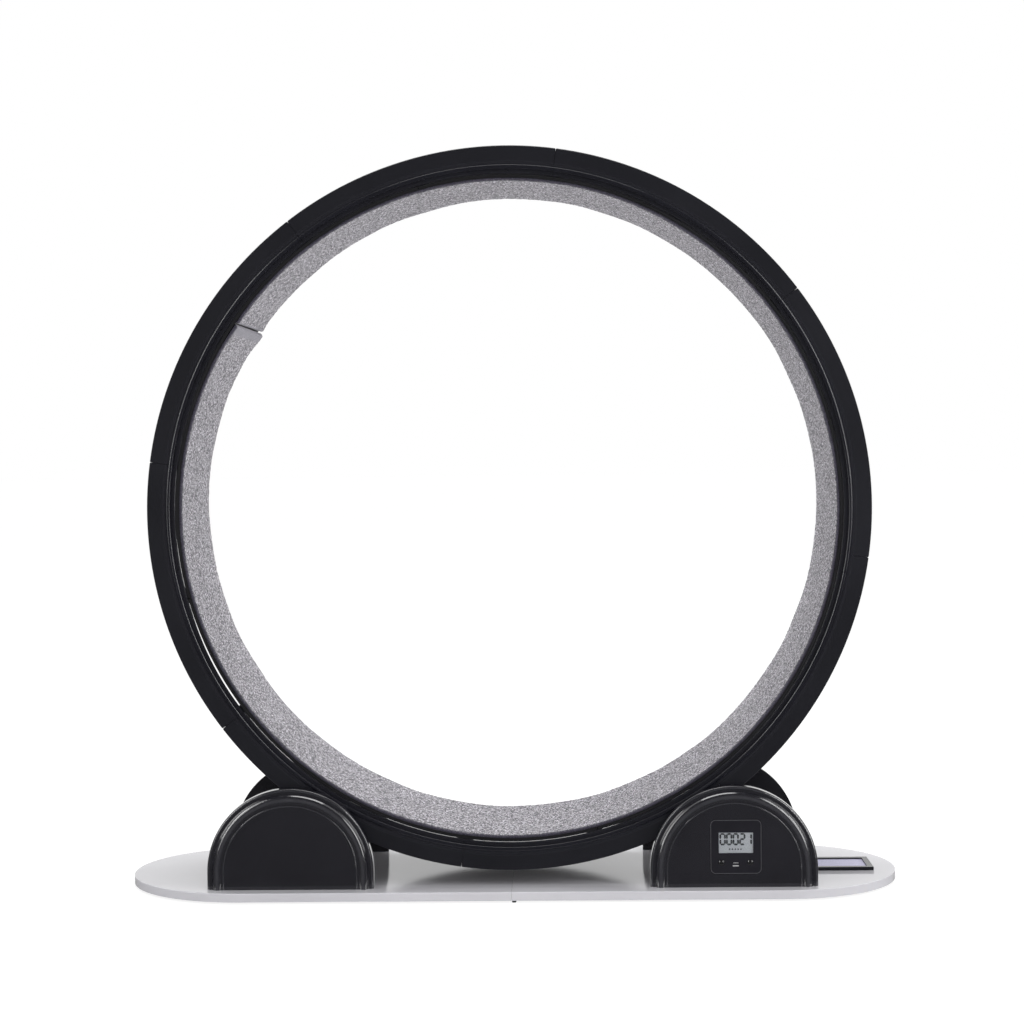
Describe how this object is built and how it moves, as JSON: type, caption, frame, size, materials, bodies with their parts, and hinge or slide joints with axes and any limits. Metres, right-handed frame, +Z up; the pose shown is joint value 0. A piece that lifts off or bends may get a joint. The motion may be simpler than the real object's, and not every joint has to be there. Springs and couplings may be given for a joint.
{
  "type": "cat exercise wheel",
  "caption": "Large carpet-lined running wheel for a cat, turning on rollers in arched housings on a flat oval board, with a distance counter.",
  "frame": {"origin": "on the floor under the middle of the board", "axes": "+X to the right and +Y to the back, seen from the counter's side; +Z up"},
  "size_m": [1.092, 0.344, 1.0357],
  "materials": {
    "rim_plastic": "satin black",
    "track_plastic": "matt black",
    "carpet": "heather grey looped pile",
    "zinc_steel": "zinc plated",
    "bare_steel": "ground",
    "magnet": "nickel plated",
    "board_lacquer": "gloss white lacquer on fibreboard",
    "foot_rubber": "matt",
    "cover_plastic": "semi-gloss black",
    "mount_plastic": "satin black",
    "washer_nylon": "natural nylon",
    "roller_tread": "polyurethane",
    "counter_plastic": "semi-gloss black",
    "counter_window": "clear acrylic",
    "counter_display": "reflective liquid crystal grey",
    "circuit_board": "solder mask",
    "coin_cell": "bright",
    "button_plastic": "gloss black",
    "sensor_plastic": "matt",
    "tray_plastic": "gloss black",
    "tray_liner": "pale lavender foam"
  },
  "bodies": {
    "base": {"axle_bolts": "zinc_steel", "axle_nuts": "zinc_steel", "axle_spacers": "zinc_steel", "base_board_left": "board_lacquer", "base_board_right": "board_lacquer", "base_feet": "foot_rubber", "counter_battery": "coin_cell", "counter_board": "circuit_board", "counter_case": "counter_plastic", "counter_display": "counter_display", "counter_window": "counter_window", "guide_washers": "washer_nylon", "joining_plate": "bare_steel", "joining_screws": "zinc_steel", "mount_screws": "zinc_steel", "roller_bearings": "bare_steel", "roller_cover_front_left": "cover_plastic", "roller_cover_front_right": "cover_plastic", "roller_cover_rear_left": "cover_plastic", "roller_cover_rear_right": "cover_plastic", "roller_mount_front_left": "mount_plastic", "roller_mount_front_right": "mount_plastic", "roller_mount_rear_left": "mount_plastic", "roller_mount_rear_right": "mount_plastic", "speed_sensor": "sensor_plastic", "tray_frame": "tray_plastic", "tray_liner": "tray_liner"},
    "wheel": {"counter_magnet": "magnet", "front_rim_segment_1": "rim_plastic", "front_rim_segment_2": "rim_plastic", "front_rim_segment_3": "rim_plastic", "front_rim_segment_4": "rim_plastic", "front_rim_segment_5": "rim_plastic", "front_rim_segment_6": "rim_plastic", "front_rim_segment_7": "rim_plastic", "front_rim_segment_8": "rim_plastic", "rear_rim_segment_1": "rim_plastic", "rear_rim_segment_2": "rim_plastic", "rear_rim_segment_3": "rim_plastic", "rear_rim_segment_4": "rim_plastic", "rear_rim_segment_5": "rim_plastic", "rear_rim_segment_6": "rim_plastic", "rear_rim_segment_7": "rim_plastic", "rear_rim_segment_8": "rim_plastic", "rim_joiners": "track_plastic", "running_carpet": "carpet", "track_panel_1": "track_plastic", "track_panel_2": "track_plastic", "track_panel_3": "track_plastic", "track_panel_4": "track_plastic", "track_screws": "zinc_steel"},
    "roller_front_left": {"roller_front_left": "roller_tread"},
    "roller_front_right": {"roller_front_right": "roller_tread"},
    "roller_rear_left": {"roller_rear_left": "roller_tread"},
    "roller_rear_right": {"roller_rear_right": "roller_tread"},
    "left_button": {"left_button": "button_plastic"},
    "right_button": {"right_button": "button_plastic"}
  },
  "joints": [
    {"name": "wheel_spin", "type": "hinge", "parent": "base", "child": "wheel", "pos_m": [0, 0, 0.5357], "axis": [0, 1, 0], "continuous": true},
    {"name": "front_left_roller_spin", "type": "hinge", "parent": "base", "child": "roller_front_left", "pos_m": [-0.262, -0.1139, 0.07694], "axis": [0, 1, 0], "continuous": true},
    {"name": "front_right_roller_spin", "type": "hinge", "parent": "base", "child": "roller_front_right", "pos_m": [0.262, -0.1139, 0.07694], "axis": [0, 1, 0], "continuous": true},
    {"name": "rear_left_roller_spin", "type": "hinge", "parent": "base", "child": "roller_rear_left", "pos_m": [-0.262, 0.1139, 0.07694], "axis": [0, 1, 0], "continuous": true},
    {"name": "rear_right_roller_spin", "type": "hinge", "parent": "base", "child": "roller_rear_right", "pos_m": [0.262, 0.1139, 0.07694], "axis": [0, 1, 0], "continuous": true},
    {"name": "left_button_press", "type": "slide", "parent": "base", "child": "left_button", "axis": [0, 1, 0], "range_m": [0, 0.001], "stiffness_N_per_m": 800},
    {"name": "right_button_press", "type": "slide", "parent": "base", "child": "right_button", "axis": [0, 1, 0], "range_m": [0, 0.001], "stiffness_N_per_m": 800}
  ],
  "couplings": [
    {"joint": "front_left_roller_spin", "follows": "wheel_spin", "ratio": -17.857},
    {"joint": "front_right_roller_spin", "follows": "wheel_spin", "ratio": -17.857},
    {"joint": "rear_left_roller_spin", "follows": "wheel_spin", "ratio": -17.857},
    {"joint": "rear_right_roller_spin", "follows": "wheel_spin", "ratio": -17.857}
  ]
}
